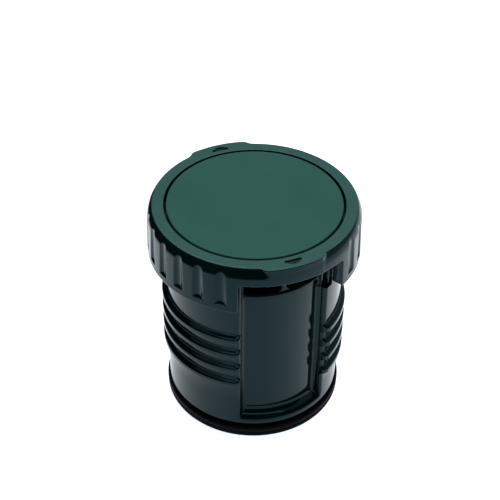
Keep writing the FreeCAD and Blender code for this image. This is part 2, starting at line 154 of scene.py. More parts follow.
def bumps(nt, bsdf, layers):
    """Stacked bumps; each layer is (height output, distance in metres, strength)."""
    last = None
    for height, dist, strength in layers:
        bp = nt.nodes.new("ShaderNodeBump")
        bp.inputs["Distance"].default_value = dist
        bp.inputs["Strength"].default_value = strength
        nt.links.new(height, bp.inputs["Height"])
        if last is not None:
            nt.links.new(last, bp.inputs["Normal"])
        last = bp.outputs["Normal"]
    nt.links.new(last, bsdf.inputs["Normal"])


def gloss_plastic(name, dark, light, rough_lo, rough_hi, ior, tint):
    """Polished injection-moulded plastic: faint flow clouds, a slight orange
    peel, hairline rub marks in the gloss and a little dust-like speckle."""
    mat, nt, bsdf = tree(name)
    tc = nt.nodes.new("ShaderNodeTexCoord")
    obj = tc.outputs["Object"]
    cloud = noise(nt, obj, 90.0, 4.0, 0.55)
    speck = noise(nt, obj, 2600.0, 2.0, 0.6)
    rub = noise(nt, obj, 420.0, 5.0, 0.65, (1.0, 1.0, 0.12))
    tone = blend(nt, span(nt, cloud, 0.3, 0.7, 0.0, 1.0, True), dark, light)
    nt.links.new(tone, bsdf.inputs["Base Color"])
    rough = math_node(nt, "ADD",
                      span(nt, cloud, 0.3, 0.7, rough_lo, rough_hi),
                      span(nt, rub, 0.45, 0.75, 0.0, 0.035))
    nt.links.new(rough, bsdf.inputs["Roughness"])
    bsdf.inputs["IOR"].default_value = ior
    bsdf.inputs["Specular Tint"].default_value = (*tint, 1.0)
    peel = noise(nt, obj, 240.0, 2.0, 0.5)
    bumps(nt, bsdf, [(peel, 0.0001, 0.035), (speck, 0.00002, 0.05)])
    return mat


def satin_plastic(name, dark, light, rough_lo, rough_hi, level):
    """Spark-eroded satin finish: fine even grain in bump and gloss."""
    mat, nt, bsdf = tree(name)
    tc = nt.nodes.new("ShaderNodeTexCoord")
    obj = tc.outputs["Object"]
    cloud = noise(nt, obj, 55.0, 3.0, 0.5)
    grain = noise(nt, obj, 3200.0, 2.0, 0.7)
    pits = nt.nodes.new("ShaderNodeTexVoronoi")
    pits.inputs["Scale"].default_value = 4200.0
    nt.links.new(obj, pits.inputs["Vector"])
    mixed = math_node(nt, "ADD", math_node(nt, "MULTIPLY", cloud, 0.55),
                      math_node(nt, "MULTIPLY", grain, 0.45))
    tone = blend(nt, span(nt, mixed, 0.35, 0.65, 0.0, 1.0), dark, light)
    nt.links.new(tone, bsdf.inputs["Base Color"])
    nt.links.new(span(nt, grain, 0.3, 0.7, rough_lo, rough_hi),
                 bsdf.inputs["Roughness"])
    bsdf.inputs["IOR"].default_value = 1.42
    bsdf.inputs["Specular IOR Level"].default_value = level
    bumps(nt, bsdf, [(grain, 0.00004, 0.32), (pits.outputs["Distance"], 0.00003, 0.22)])
    return mat


def rubber(name, dark, light):
    """Silicone: soft sheen, flash-dull patches and a fine moulded grain."""
    mat, nt, bsdf = tree(name)
    tc = nt.nodes.new("ShaderNodeTexCoord")
    obj = tc.outputs["Object"]
    cloud = noise(nt, obj, 130.0, 4.0, 0.6)
    grain = noise(nt, obj, 2400.0, 3.0, 0.6)
    tone = blend(nt, span(nt, cloud, 0.3, 0.7, 0.0, 1.0, True), dark, light)
    nt.links.new(tone, bsdf.inputs["Base Color"])
    nt.links.new(span(nt, cloud, 0.3, 0.7, 0.34, 0.50), bsdf.inputs["Roughness"])
    bsdf.inputs["IOR"].default_value = 1.42
    bsdf.inputs["Specular IOR Level"].default_value = 0.025
    bumps(nt, bsdf, [(grain, 0.00005, 0.25)])
    return mat


def foam(name, dark, light, cell):
    """Closed-cell foam: a Voronoi cell pattern in colour and bump."""
    mat, nt, bsdf = tree(name)
    tc = nt.nodes.new("ShaderNodeTexCoord")
    obj = tc.outputs["Object"]
    cells = nt.nodes.new("ShaderNodeTexVoronoi")
    cells.inputs["Scale"].default_value = cell
    nt.links.new(obj, cells.inputs["Vector"])
    cloud = noise(nt, obj, 160.0, 4.0, 0.6)
    mixed = math_node(nt, "ADD",
                      math_node(nt, "MULTIPLY", cells.outputs["Distance"], 0.7),
                      math_node(nt, "MULTIPLY", cloud, 0.5))
    nt.links.new(blend(nt, span(nt, mixed, 0.2, 0.8, 0.0, 1.0), dark, light),
                 bsdf.inputs["Base Color"])
    nt.links.new(span(nt, cloud, 0.2, 0.8, 0.82, 0.96), bsdf.inputs["Roughness"])
    bumps(nt, bsdf, [(cells.outputs["Distance"], 0.0004, 0.6)])
    return mat


GREEN = gloss_plastic("green_gloss_plastic", (0.0005, 0.0032, 0.0034),
                      (0.0007, 0.0041, 0.0042), 0.060, 0.095, 1.32, (0.31, 0.66, 0.80))
# The satin grain is real. The satin greens are far lighter than the gloss green of the same plastic:
# painted light from above on the top faces.
SATIN_PAINTED_LIGHT = satin_plastic("green_satin_painted_light", (0.0092, 0.0475, 0.0395),
                      (0.0118, 0.0570, 0.0465), 0.40, 0.50, 0.10)
RIM_PAINTED_LIGHT = satin_plastic("green_satin_rim_painted_light", (0.0088, 0.0440, 0.0385),
                    (0.0110, 0.0520, 0.0455), 0.30, 0.40, 0.18)
# A darker copy of the satin green for the arrow recess floors: painted shade in the recesses.
RECESS_PAINTED_SHADE = satin_plastic("green_satin_recess_painted_shade", (0.0022, 0.0110, 0.0100),
                       (0.0030, 0.0140, 0.0125), 0.42, 0.52, 0.08)
RUBBER = rubber("black_silicone", (0.0018, 0.0018, 0.0030), (0.0028, 0.0027, 0.0044))
GREY_FOAM = foam("grey_adhesive_foam", (0.16, 0.16, 0.16), (0.30, 0.30, 0.29), 1500.0)
CREAM_FOAM = foam("cream_insulation_foam", (0.66, 0.56, 0.36), (0.86, 0.79, 0.60), 900.0)


# ------------------------------------------------------------------- meshes
def smin(a, b, k):
    h = np.maximum(k - np.abs(a - b), 0.0) / k
    return np.minimum(a, b) - h * h * k * 0.25


def smax(a, b, k):
    return -smin(-a, -b, k)


def step(x, lo, hi):
    t = np.clip((x - lo) / (hi - lo), 0.0, 1.0)
    return t * t * (3 - 2 * t)


def place(r, theta, z):
    """Millimetres and degrees (azimuth from -Y towards +X) to metres."""
    a = math.radians(theta)
    return (r * math.sin(a) * MM, -r * math.cos(a) * MM, z * MM)


def finish_mesh(name, verts, faces, mats, pick=None, sharp=34.0, weld=8e-7):
    me = bpy.data.meshes.new(name)
    me.from_pydata(verts, [], faces)
    bm = bmesh.new()
    bm.from_mesh(me)
    bmesh.ops.remove_doubles(bm, verts=bm.verts, dist=weld)
    bmesh.ops.dissolve_degenerate(bm, edges=bm.edges, dist=weld)
    bmesh.ops.recalc_face_normals(bm, faces=bm.faces)
    for f in bm.faces:
        f.smooth = True
    bm.to_mesh(me)
    bm.free()
    for m in mats:
        me.materials.append(m)
    if pick is not None:
        for p in me.polygons:
            p.material_index = pick(p)
    me.set_sharp_from_angle(angle=math.radians(sharp))
    ob = bpy.data.objects.new(name, me)
    bpy.context.scene.collection.objects.link(ob)
    return ob


def lathe_data(profile, thetas, wobble=None):
    """Profile of (r, z) from one point to another; r = 0 ends become poles,
    otherwise the profile is taken as a closed loop."""
    pole = profile[0][0] == 0 and profile[-1][0] == 0
    verts, faces, rings = [], [], []
    n = len(thetas)
    for r, z in profile:
        if r == 0:
            verts.append((0.0, 0.0, z * MM))
            rings.append([len(verts) - 1] * n)
        else:
            ring = []
            for t in thetas:
                rr = r if wobble is None else wobble(r, z, t)
                verts.append(place(rr, t, z))
                ring.append(len(verts) - 1)
            rings.append(ring)
    count = len(rings) - 1 if pole else len(rings)
    for i in range(count):
        a, b = rings[i], rings[(i + 1) % len(rings)]
        for j in range(n):
            k = (j + 1) % n
            face = []
            for v in (a[j], a[k], b[k], b[j]):
                if v not in face:
                    face.append(v)
            if len(face) > 2:
                faces.append(face)
    return verts, faces


def arc(cr, cz, rad, a0, a1, n):
    """Points of an arc in the (r, z) plane, angles in degrees from +r to +z."""
    out = []
    for k in range(n + 1):
        a = math.radians(a0 + (a1 - a0) * k / n)
        out.append((cr + rad * math.cos(a), cz + rad * math.sin(a)))
    return out


class Outline:
    """Edge of a ring with two lugs, unrolled: s along the ring, w from the
    ring towards the lugs.  One quarter runs from a gap's middle to a lug's
    middle; h moves the outline towards the open side."""

    def __init__(self, gap_s, gap_w, lug_w, inner, outer):
        self.sg, self.wg, self.wl = gap_s, gap_w, lug_w
        self.rc, self.rv = inner, outer

    def gap(self, s):
        return lambda h: (s, self.wg + h)

    def inner(self, a):
        def at(h):
            if h >= self.rc:
                return (self.sg - h, self.wg + h)
            ca, sa = math.cos(math.radians(a)), math.sin(math.radians(a))
            return (self.sg - self.rc + (self.rc - h) * ca,
                    self.wg + self.rc + (self.rc - h) * sa)
        return at

    def side(self, w):
        return lambda h: (self.sg - h, w)

    def outer(self, a):
        def at(h):
            ca, sa = math.cos(math.radians(a)), math.sin(math.radians(a))
            rad = max(self.rv + h, 0.0)
            return (self.sg + self.rv + rad * ca, self.wl - self.rv + rad * sa)
        return at

    def end(self, s):
        return lambda h: (s, self.wl + h)


def lug_shell(spec):
    """A ring with two lugs and rounded edges all along the outline, closed on
    the other side by a turned profile.  Returns vertices and faces.

    spec holds: out (Outline), nominal radius rn, inset e, ring_rows (w values
    from the far side, scaled to the outline), lug_rows(theta) (w values
    between the two corner arcs), gap_s and lug_s (column positions as s, for
    half a gap and half a lug, the corner arcs left out), R(theta, w) outside,
    section(kind, theta, w, rb) giving [(h, r)...] from the outside face to the
    inside one, closing (r, w, dtheta) rows, height(w) to z, inside radius ri
    and inner ring rows."""
    o, rn, e = spec["out"], spec["rn"], spec["e"]
    K = 4
    verts, faces = [], []
    to_deg = 180.0 / math.pi / rn

    def vert(r, theta, w):
        verts.append(place(r, theta, spec["height"](w)))
        return len(verts) - 1

    # Columns of half a gap and half a lug, mirrored and repeated.
    arc_in = [-90 + 45.0 * k / K for k in range(K + 1)]       # gap side
    arc_in_up = [-45 + 45.0 * k / K for k in range(K + 1)]    # lug side
    arc_out = [180 - 45.0 * k / K for k in range(K + 1)]      # lug side
    arc_out_far = [135 - 45.0 * k / K for k in range(K + 1)]  # lug end

    def half():
        cols = []
        for s in spec["gap_s"]:
            cols.append(("gap", s, o.gap(s)))
        for a in arc_in[1:-1]:
            cols.append(("gap", None, o.inner(a)))
        cols.append(("corner", None, o.inner(-45)))
        for a in arc_out_far[1:-1]:
            cols.append(("lug", None, o.outer(a)))
        for s in spec["lug_s"]:
            cols.append(("lug", s, o.end(s)))
        return cols

    quarter = half()
    nq = len(quarter)
    columns = []      # (kind, centre theta, mirror sign, s at e, end function)
    for base, order, sign in ((0.0, range(nq), 1), (180.0, range(nq - 2, -1, -1), -1),
                              (180.0, range(1, nq), 1), (360.0, range(nq - 2, 0, -1), -1)):
        for q in order:
            kind, s, at = quarter[q]
            columns.append((kind, base, sign, at(-e)[0] if s is None else s, at, q))
    # The quarter lists share the gap's middle and the lug's middle columns.
    n = len(columns)
    thetas = [c[1] + c[2] * c[3] * to_deg for c in columns]

    ring_rows = spec["ring_rows"]
    m = len(ring_rows)
    wc = o.inner(-45)(-e)[1]
    outer_ring, lug_out = [], {}
    for j, (kind, base, sign, s, at, q) in enumerate(columns):
        wb = at(-e)[1] if kind != "lug" else wc
        col = []
        for t in ring_rows:
            w = t * wb
            col.append(vert(spec["R"](thetas[j], w), thetas[j], w))
        outer_ring.append(col)

    lug_ids = [j for j, c in enumerate(columns) if c[0] != "gap"]
    runs = []
    for j in lug_ids:
        if runs and runs[-1][-1] == j - 1:
            runs[-1].append(j)
        else:
            runs.append([j])

    # Row heights of a lug: corner arc, free rows, corner arc.
    def rows_at(theta):
        free = spec["lug_rows"](theta)
        up = [o.inner(a)(-e)[1] for a in arc_in_up[1:]]
        far = [o.outer(a)(-e)[1] for a in arc_out[:-1]]
        return up, free, far

    def edge_refs(theta_edge):
        """(row function for the corner column) below the first row."""
        refs = [o.inner(a) for a in arc_in_up[1:]]
        refs += [o.side(w) for w in spec["lug_rows"](theta_edge)]
        refs += [o.outer(a) for a in arc_out[:-1]]
        refs.append(o.outer(135))
        return refs

    inner_ring = []
    ri = spec["ri"]
    path = []          # (vertex id outside, at, theta base, sign, kind tag)
    paths = []
    lug_grid = {}
    for run in runs:
        for j in run:
            kind, base, sign, s, at, q = columns[j]
            up, free, far = rows_at(thetas[j])
            if kind == "corner":
                refs = edge_refs(thetas[j])
                ids = []
                for ref in refs:
                    se, we = ref(-e)
                    th = base + sign * se * to_deg
                    ids.append(vert(spec["R"](th, we), th, we))
                lug_grid[j] = (ids, refs)
            else:
                ws = up + free + far
                ids = [vert(spec["R"](thetas[j], w), thetas[j], w) for w in ws]
                we = at(-e)[1]
                ids.append(vert(spec["R"](thetas[j], we), thetas[j], we))
                lug_grid[j] = (ids, None)

    # Boundary path once round: gap columns, corner, side, end, side, ...
    path = []
    def add(vid, at, base, sign, tag):
        path.append((vid, at, base, sign, tag))
    j = 0
    in_run = {}
    for run in runs:
        in_run[run[0]] = run
    while j < n:
        if j in in_run:
            run = in_run[j]
            first, last = run[0], run[-1]
            kind, base, sign, s, at, q = columns[first]
            ids, refs = lug_grid[first]
            add(outer_ring[first][-1], o.inner(-45), base, sign, "side")
            for vid, ref in zip(ids, refs):
                add(vid, ref, base, sign, "side")
            for c in run[1:-1]:
                kind, base, sign, s, at, q = columns[c]
                add(lug_grid[c][0][-1], at, base, sign, "end")
            kind, base, sign, s, at, q = columns[last]
            ids, refs = lug_grid[last]
            for vid, ref in zip(ids[::-1], refs[::-1]):
                add(vid, ref, base, sign, "side")
            add(outer_ring[last][-1], o.inner(-45), base, sign, "side")
            j = last + 1
        else:
            kind, base, sign, s, at, q = columns[j]
            add(outer_ring[j][-1], at, base, sign, "gap")
            j += 1

    # Section chains from the outside edge to the inside edge.
    chains = []
    inner_of = {}
    for vid, at, base, sign, tag in path:
        se, we = at(-e)
        th = base + sign * se * to_deg
        rb = spec["R"](th, we)
        chain = [vid]
        for h, r in spec["section"](tag, th, we, rb)[1:]:
            s2, w2 = at(h)
            chain.append(vert(r, base + sign * s2 * to_deg, w2))
        chains.append(chain)
        inner_of[vid] = chain[-1]
    np_ = len(chains)
    for a in range(np_):
        b = (a + 1) % np_
        for k in range(len(chains[a]) - 1):
            faces.append((chains[a][k], chains[b][k], chains[b][k + 1], chains[a][k + 1]))

    # Outside faces of the ring and of the lugs.
    for j in range(n):
        k = (j + 1) % n
        for i in range(m - 1):
            faces.append((outer_ring[j][i], outer_ring[k][i],
                          outer_ring[k][i + 1], outer_ring[j][i + 1]))
    for run in runs:
        for j, k in zip(run[:-1], run[1:]):
            a = [outer_ring[j][-1]] + lug_grid[j][0]
            b = [outer_ring[k][-1]] + lug_grid[k][0]
            for i in range(len(a) - 1):
                faces.append((a[i], b[i], b[i + 1], a[i + 1]))

    # Inside: same connectivity, on radius ri, its edge at the chains' ends.
    coords = verts
    def inner_grid_col(j, run):
        ids_out = [outer_ring[j][-1]] + lug_grid[j][0]
        ids = []
        for i, vid in enumerate(ids_out):
            if vid in inner_of:
                ids.append(inner_of[vid])
            else:
                x, y, z = coords[vid]
                th = math.degrees(math.atan2(x, -y))
                verts.append(place(ri, th, z / MM))
                ids.append(len(verts) - 1)
        return ids
    inner_cols = {}
    for run in runs:
        for j in run:
            inner_cols[j] = inner_grid_col(j, run)
        for j, k in zip(run[:-1], run[1:]):
            a, b = inner_cols[j], inner_cols[k]
            for i in range(len(a) - 1):
                faces.append((a[i], b[i], b[i + 1], a[i + 1]))
    start = []
    for j in range(n):
        start.append(inner_cols[j][0] if j in inner_cols
                     else inner_of[outer_ring[j][-1]])

    # Turned closing profile from the inside ring back to the outer ring.
    prev = start
    for row in spec["closing"]:
        ring = []
        for j in range(n):
            r, w = row(thetas[j]) if callable(row) else row
            ring.append(vert(r, thetas[j], w))
        for j in range(n):
            k = (j + 1) % n
            faces.append((prev[j], prev[k], ring[k], ring[j]))
        prev = ring
    for j in range(n):
        k = (j + 1) % n
        faces.append((prev[j], prev[k], outer_ring[k][0], outer_ring[j][0]))
    return verts, faces


def box_island(theta0, theta1, r0, r1, z0, z1, edge, verts, faces, n=3):
    """A rounded block following the ring, as its own closed shell."""
    def cuts(a, b, unit):
        half = (b - a) / 2
        e = min(edge / unit, half * 0.9)
        c = [0.0, 0.3, 0.7, 1.0]
        lo = [a + e * (1 - math.cos(math.radians(90 * k / n))) for k in range(n + 1)]
        return lo
    base = len(verts)
    nu, nv = 8, 8
    mid_t, mid_r, mid_z = (theta0 + theta1) / 2, (r0 + r1) / 2, (z0 + z1) / 2
    arcmm = math.radians(theta1 - theta0) * mid_r / 2
    hx, hy, hz = arcmm, (r1 - r0) / 2, (z1 - z0) / 2
    bm = bmesh.new()
    bmesh.ops.create_cube(bm, size=2.0)
    for v in bm.verts:
        v.co = Vector((v.co.x * hx, v.co.y * hy, v.co.z * hz))
    bmesh.ops.bevel(bm, geom=bm.edges[:], offset=edge, segments=n, profile=0.5,
                    affect="EDGES", clamp_overlap=True)
    bm.verts.ensure_lookup_table()
    for v in bm.verts:
        t = mid_t + math.degrees(v.co.x / mid_r)
        verts.append(place(mid_r + v.co.y, t, mid_z + v.co.z))
    for f in bm.faces:
        faces.append([base + v.index for v in f.verts])
    bm.free()


# ------------------------------------------------------------------ grip cap
def cap_outline_radius():
    fl_c, fl_r, fl_step = 31.25, 2.28, 12.7
    d_low, shoulder_r = 3.45, 29.40
    rim = 28.05
    rho = (d_low ** 2 + (shoulder_r - rim) ** 2) / (2 * (shoulder_r - rim))

    def turned(w):
        if w < d_low:
            return shoulder_r - rho + math.sqrt(rho * rho - (d_low - w) ** 2)
        return shoulder_r + (29.72 - shoulder_r) * (w - d_low) / (14.4 - d_low)

    def radius(theta, w):
        base = turned(w)
        t = (theta + 90.0) % 180.0 - 90.0        # from the nearest pour axis
        at = abs(t)
        pad = 27.7 + (29.27 + 0.20 * min(w, 5.3) / 5.3 - 27.7) * (1 - step(at, 14.6, 21.8))
        r = float(smax(base, pad, 0.16 + 0.26 * float(step(at, 10.0, 15.0))))
        # flutes, nine to a side
        u = ((theta + 0.0) % 180.0) - 90.0
        k = round(u / fl_step)
        if abs(k) <= 4:
            phi = math.radians(u - k * fl_step)
            q = fl_r ** 2 - (fl_c * math.sin(phi)) ** 2
            if q > 0:
                rf = fl_c * math.cos(phi) - math.sqrt(q)
                depth = r - float(smin(r, rf, 0.30))
                w0, w1 = 11.15, 12.40
                if w > w0:
                    g = 0.0 if w >= w1 else math.sqrt(max(0.0, 1 - ((w - w0) / (w1 - w0)) ** 2))
                    depth *= g
                r -= depth
        return r
    return radius


def build_cap():
    R = cap_outline_radius()
    rn = 29.4
    per = math.pi * rn / 180.0
    gap_s = 30.3 * per
    lug_mid = 90.0 * per
    o = Outline(gap_s, 5.3, TOP - 51.60, 0.75, 0.85)
    e = 0.30
    gap_cols = [x * per for x in
                list(np.arange(0, 9.0, 1.5)) + list(np.arange(9.0, 27.8, 0.6))
                + list(np.linspace(28.0, 28.75, 2))]
    first = 30.3 + 0.95 / per
    lug_cols = [x * per for x in list(np.linspace(first, 90.0, 172))]
    ring_rows = [0.045, 0.08, 0.12, 0.17, 0.22, 0.28, 0.34, 0.40, 0.46, 0.52,
                 0.58, 0.64, 0.70, 0.77, 0.84, 0.92, 1.0]
    free = [6.6, 7.4, 8.4, 9.6, 10.7, 11.15, 11.4, 11.6, 11.78, 11.93, 12.06,
            12.17, 12.26, 12.33, 12.38, 12.42, 12.6, 13.0]
    ri, ei = 26.40, 0.22

    def section(tag, theta, w, rb):
        rows = [(-e, rb)]
        for k in range(1, 6):
            a = math.radians(18 * k)
            rows.append((-e + e * math.sin(a), rb - e * (1 - math.cos(a))))
        rows.append((0.0, (rb - e + ri + ei) / 2))
        for k in range(0, 4):
            a = math.radians(30 * k)
            rows.append((-ei * (1 - math.cos(a)), ri + ei * (1 - math.sin(a))))
        return rows

    pl = TOP - PLATE_LOW            # depth of the plate's underside
    rec = TOP - RECESS_Z            # depth of the recess floor
    wr = 24.82

    def edge_row(f):
        """Rounded corner between the flat rim and the shoulder."""
        def row(theta):
            c = 0.26
            p0 = (R(theta, 0.0) - c, 0.0)
            p1 = (R(theta, 0.0), 0.0)
            p2 = (R(theta, 0.045 * 5.0), 0.045 * 5.0)
            a, b, cc = (1 - f) ** 2, 2 * f * (1 - f), f * f
            return (a * p0[0] + b * p1[0] + cc * p2[0], a * p0[1] + b * p1[1] + cc * p2[1])
        return row

    sp = 0.5
    closing = [(ri, pl), (ri - 0.02, pl), (21.0, pl), (16.85, pl), (16.8, pl + 0.05),
               (16.8, TOP - 57.40), (15.12, TOP - 57.40), (15.12, TOP - 55.40),
               (16.8, TOP - 55.40), (16.8, TOP - 54.0), (16.3, TOP - 53.2),
               (13.8, TOP - 53.2), (13.8, pl), (3.55, pl), (3.55, rec), (14.0, rec),
               (wr - 0.15, rec), (wr, rec - 0.15), (wr, 0.22)]
    for k in range(1, 5):
        a = math.radians(22.5 * k)
        closing.append((wr + 0.22 * (1 - math.cos(a)), 0.22 * (1 - math.sin(a))))
    closing.append((25.9, 0.0))
    for f in (0.0, 0.2, 0.4, 0.6, 0.8):
        closing.append(edge_row(f))

    spec = dict(out=o, rn=rn, e=e, ring_rows=ring_rows, lug_rows=lambda th: free,
                gap_s=gap_cols, lug_s=lug_cols, R=R, section=section,
                closing=closing, height=lambda w: TOP - w, ri=ri)
    verts, faces = lug_shell(spec)
    for mid in (35.2, -35.2, 180 + 35.2, 180 - 35.2):
        box_island(mid - 1.1, mid + 1.1, 23.15, 24.25, TAB_LOW, PLATE_LOW + 0.3, 0.22,
                   verts, faces)
    cap = finish_mesh("grip_cap_shell", verts, faces, [GREEN, SATIN_PAINTED_LIGHT])

    # Arrow recesses, one on each pour pad.
    flat = [(-2.25, -26.15), (-2.40, -26.75), (-0.65, -27.85),
            (0.65, -27.85), (2.40, -26.75), (2.25, -26.15)]
    cx = sum(p[0] for p in flat) / 6
    cy = sum(p[1] for p in flat) / 6
    cverts, cfaces = [], []
    for turn in (0.0, math.pi):
        base = len(cverts)
        levels = [(TOP + 0.3, 1.11), (TOP - 0.02, 1.05), (TOP - 0.12, 1.0), (TOP - 0.45, 0.96)]
        for z, grow in levels:
            for x, y in flat:
                px, py = cx + (x - cx) * grow, cy + (y - cy) * (1 + (grow - 1) * 1.6)
                ca, sa = math.cos(turn), math.sin(turn)
                cverts.append(((px * ca - py * sa) * MM, (px * sa + py * ca) * MM, z * MM))
        for lv in range(3):
            for k in range(6):
                a = base + lv * 6 + k
                b = base + lv * 6 + (k + 1) % 6
                cfaces.append((a, b, b + 6, a + 6))
        cfaces.append([base + k for k in range(6)])
        cfaces.append([base + 18 + k for k in range(6)])
    cutter = finish_mesh("arrow_cutter", cverts, cfaces, [SATIN_PAINTED_LIGHT])
    mod = cap.modifiers.new("arrows", "BOOLEAN")
    mod.operation = "DIFFERENCE"
    mod.solver = "EXACT"
    mod.object = cutter
    bpy.context.view_layer.update()
    dg = bpy.context.evaluated_depsgraph_get()
    cut = bpy.data.meshes.new_from_object(cap.evaluated_get(dg))
    cap.modifiers.clear()
    old = cap.data
    cap.data = cut
    cap.data.name = "grip_cap_shell"
    bpy.data.meshes.remove(old)
    data = cutter.data
    bpy.data.objects.remove(cutter)
    bpy.data.meshes.remove(data)

    me = cap.data
    me.materials.clear()
    me.materials.append(GREEN)
    me.materials.append(RIM_PAINTED_LIGHT)
    me.materials.append(RECESS_PAINTED_SHADE)
    for p in me.polygons:
        c = p.center
        rr = math.hypot(c.x, c.y) / MM
        # Flat rim faces take the lighter satin green: painted light from above.
        up = p.normal.z > 0.35 and c.z / MM > TOP - 0.6 and rr > 24.7 and rr < 29.4
        shallow = c.z / MM > TOP - 0.10
        # Arrow recess floors take the darker satin copy: painted shade in the recesses.
        shaded_recess_floor = p.normal.z > 0.9 and 24.9 < rr < 28.6 and 0.3 < TOP - c.z / MM < 0.6
        p.material_index = 2 if shaded_recess_floor else 1 if up and shallow else 0
        p.use_smooth = True
    me.set_sharp_from_angle(angle=math.radians(30))
    # The flat rim keeps its own normals.
    bm = bmesh.new()
    bm.from_mesh(me)
    for ed in bm.edges:
        fl = [f.normal.z > 0.9999 and abs(f.calc_center_median().z / MM - TOP) < 0.002
              for f in ed.link_faces]
        if len(fl) == 2 and fl[0] != fl[1]:
            ed.smooth = False
    bm.to_mesh(me)
    bm.free()
    return cap


# ------------------------------------------------------------- thread sleeve
PITCH = 5.40
RIB_H = 1.37


def rib_shape(dz):
    up = (1.58 - dz) * (RIB_H / 0.74)
    dn = (1.45 + dz) * (RIB_H / 0.70)
    body = float(smin(float(smin(up, dn, 0.25)), RIB_H, 0.48))
    return max(0.0, float(smax(body, 0.0, 0.22)) - (0.055 if body < -0.2 else 0.0))


def rib_rows():
    return [-1.62, -1.48, -1.34, -1.18, -1.02, -0.88, -0.76, -0.64, -0.50, -0.30,
            0.0, 0.30, 0.50, 0.64, 0.78, 0.92, 1.08, 1.26, 1.44, 1.60, 1.74, 1.92]


def rib_centre(theta, k):
    """Crest height of rib k (from the top) of a right-hand thread."""
    t = theta % 360.0
    if t < 180.0:
        return 34.05 - PITCH * k + PITCH * (t - 90.0) / 360.0
    return 36.75 - PITCH * k + PITCH * (t - 270.0) / 360.0


NOTCH = (32.35, 36.6, 23.05, 48.10)
WIN = 30.1


def build_sleeve():
    rn = 24.85
    per = math.pi * rn / 180.0
    gap_s = WIN * per
    z0 = SLEEVE_LOW
    o = Outline(gap_s, 6.90 - z0, SLEEVE_TOP - z0, 0.50, 1.00)
    e = 0.95

    def R(theta, w):
        z = w + z0
        t = (theta + 90.0) % 180.0 - 90.0
        at = abs(t)
        if z < z0 + 0.35:
            q = (z0 + 0.35 - z) / 0.35
            return rn - 0.35 * (1 - math.sqrt(max(0.0, 1 - q * q)))
        if at < NOTCH[1] and z > NOTCH[3] and (t > 0 or at > NOTCH[0]):
            return NOTCH[2]
        r = rn
        if 8.0 < z < 42.0 and at > WIN - 1.5:
            s = (at - WIN) * per
            q = max(0.0, min(1.0, (s - 0.50) / 1.00))
            ends = math.sqrt(max(0.0, 1 - (1 - q) ** 2))
            for k in range(4):
                dz = z - rib_centre(theta, k)
                if abs(dz) < 2.1:
                    r += rib_shape(dz) * ends
        return r

    def lug_rows(theta):
        rows = []
        bottom = 6.90 - z0 + 0.50
        rows += [bottom + 1.2]
        zs = []
        for k in (3, 2, 1, 0):
            c = rib_centre(theta, k)
            zs += [c + d - z0 for d in rib_rows()]
        rows += [(rows[-1] + zs[0]) / 2]
        rows += zs
        last = zs[-1]
        rows += [last + (47.2 - z0 - last) * f for f in (0.35, 0.7)]
        rows += [47.4 - z0, NOTCH[3] - 0.015 - z0, NOTCH[3] + 0.015 - z0,
                 50.2 - z0, 50.9 - z0, 51.6 - z0, 54.5 - z0, 58.5 - z0]
        return rows

    gap_cols = [x * per for x in list(np.arange(0, 22.0, 1.5)) + [22.5, 23.4, 24.3, 25.2, 26.1, 27.0, 27.7]]
    lug_deg = []
    start = WIN + 1.08 / per
    lug_deg += list(np.linspace(start, 36.0, 13))
    lug_deg += [NOTCH[1] - 0.02, NOTCH[1] + 0.02]
    lug_deg += list(np.linspace(37.6, 90.0, 46))
    lug_cols = [x * per for x in lug_deg]
    foot = 1.35
    ri = 22.0

    def section(tag, theta, w, rb):
        z = w + z0
        if tag == "side":
            low = 1 - float(step(z, 7.0, 8.6))
            er = 0.30 + 0.65 * (1 - low) if rb > 24.0 else 0.20
            f = (foot + (2.40 - foot) * low) * (1 - 0.8 * float(step(z, 50.7, 51.5)))
            groove = 0.30 * (1 - low) * (1 - float(step(z, 47.0, 48.0)))
        else:
            er, groove, low = 0.30, 0.0, 1.0
            f = 2.40 if tag == "gap" else 0.0
        rows = [(-e, rb)]
        for k in range(1, 8):
            a = math.radians(90 * k / 7)
            rows.append((-er + er * math.sin(a), rb - er * (1 - math.cos(a))))
        top = rows[-1][1]
        g = min(24.02 + 0.51 * low, top - 0.02)
        wide = 0.38 - 0.25 * low
        for at, h in ((0.0, 0.0), (0.08, 0.8), (0.27, 1.0), (0.73, 1.0), (0.92, 0.8), (1.0, 0.0)):
            rows.append((-groove * h, g - wide * at))
        last = rows[-1][1]
        r_foot = min(ri + max(f, 0.25), last)
        for k in range(0, 17):
            a = math.radians(90 * k / 16)
            rows.append((f * (1 - math.cos(a)), r_foot - (r_foot - ri) * math.sin(a)))
        return rows

    closing = [(ri, BASE_TOP - z0), (ri - 0.02, BASE_TOP - z0), (19.55, BASE_TOP - z0),
               (19.5, BASE_TOP - 0.05 - z0), (19.5, 0.0), (22.0, 0.0), (rn - 0.35, 0.0)]
    ring_rows = [0.035, 0.07, 0.11, 0.16, 0.3, 0.5, 0.75, 1.0]
    spec = dict(out=o, rn=rn, e=e, ring_rows=ring_rows, lug_rows=lug_rows,
                gap_s=gap_cols, lug_s=lug_cols, R=R, section=section,
                closing=closing, height=lambda w: z0 + w, ri=ri)
    verts, faces = lug_shell(spec)
    return finish_mesh("thread_sleeve_shell", verts, faces, [GREEN], sharp=38.0)


